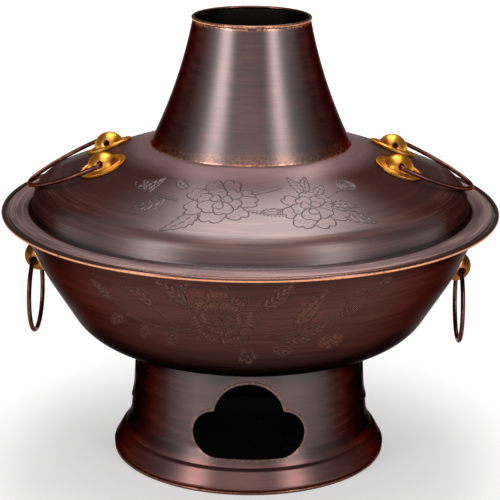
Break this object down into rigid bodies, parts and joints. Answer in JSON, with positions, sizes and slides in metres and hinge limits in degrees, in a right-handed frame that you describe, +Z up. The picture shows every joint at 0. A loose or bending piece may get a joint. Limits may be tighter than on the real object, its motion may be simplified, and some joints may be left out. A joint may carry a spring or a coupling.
{
  "type": "chimney hot pot",
  "caption": "Charcoal hot pot: pierced foot, wide bowl round a central fire tube, lift-off domed lid with folding wire bails, loose trumpet chimney, swinging side rings.",
  "frame": {"origin": "centre of the foot's lower edge, on the surface that the pot stands on", "axes": "+Z up along the pot's axis; the bails and rings lie along X; -Y is the front"},
  "size_m": [0.32, 0.32, 0.2882],
  "materials": {
    "copper_sheet": "hand-rubbed antique copper, dark brown patina with a satin sheen",
    "worn_copper_wire": "rolled copper edge, patina rubbed through to bright copper",
    "brass_fittings": "polished cast brass",
    "brass_washers": "plain brass, dulled by steam",
    "handle_wire": "polished dark copper wire",
    "grate_iron": "rough cast iron, heat-stained",
    "tin_solder": "dull tin solder"
  },
  "bodies": {
    "pot": {"foot": "copper_sheet", "foot_edge_wire": "worn_copper_wire", "ash_floor": "copper_sheet", "fire_tube": "copper_sheet", "tube_solder": "tin_solder", "grate_ledge": "copper_sheet", "grate": "grate_iron", "bowl": "copper_sheet", "bowl_rim_wire": "worn_copper_wire", "bowl_washers": "brass_washers", "bowl_boss_left": "brass_fittings", "bowl_boss_right": "brass_fittings", "bowl_plate_left": "brass_fittings", "bowl_plate_right": "brass_fittings"},
    "lid": {"lid": "copper_sheet", "lid_washers": "brass_washers", "lid_boss_left_front": "brass_fittings", "lid_boss_left_back": "brass_fittings", "lid_boss_right_front": "brass_fittings", "lid_boss_right_back": "brass_fittings", "lid_plate_left_front": "brass_fittings", "lid_plate_left_back": "brass_fittings", "lid_plate_right_front": "brass_fittings", "lid_plate_right_back": "brass_fittings"},
    "chimney": {"chimney": "copper_sheet", "chimney_top_wire": "worn_copper_wire"},
    "bail_left": {"bail_left": "handle_wire"},
    "bail_right": {"bail_right": "handle_wire"},
    "ring_left": {"ring_left": "handle_wire"},
    "ring_right": {"ring_right": "handle_wire"}
  },
  "joints": [
    {"name": "lid_lift", "type": "slide", "parent": "pot", "child": "lid", "axis": [0, 0, 1], "range_m": [0, 0.12]},
    {"name": "chimney_lift", "type": "slide", "parent": "lid", "child": "chimney", "axis": [0, 0, 1], "range_m": [0, 0.1]},
    {"name": "bail_right_swing", "type": "hinge", "parent": "lid", "child": "bail_right", "pos_m": [0.09409, 0, 0.20002], "axis": [0, -1, 0], "range_deg": [0, 161]},
    {"name": "bail_left_swing", "type": "hinge", "parent": "lid", "child": "bail_left", "pos_m": [-0.09409, 0, 0.20002], "axis": [0, 1, 0], "range_deg": [0, 161]},
    {"name": "ring_right_swing", "type": "hinge", "parent": "pot", "child": "ring_right", "pos_m": [0.13748, 0, 0.12287], "axis": [0, -1, 0], "range_deg": [-38, 148]},
    {"name": "ring_left_swing", "type": "hinge", "parent": "pot", "child": "ring_left", "pos_m": [-0.14025, 0, 0.1282], "axis": [0, 1, 0], "range_deg": [-34, 146]}
  ]
}
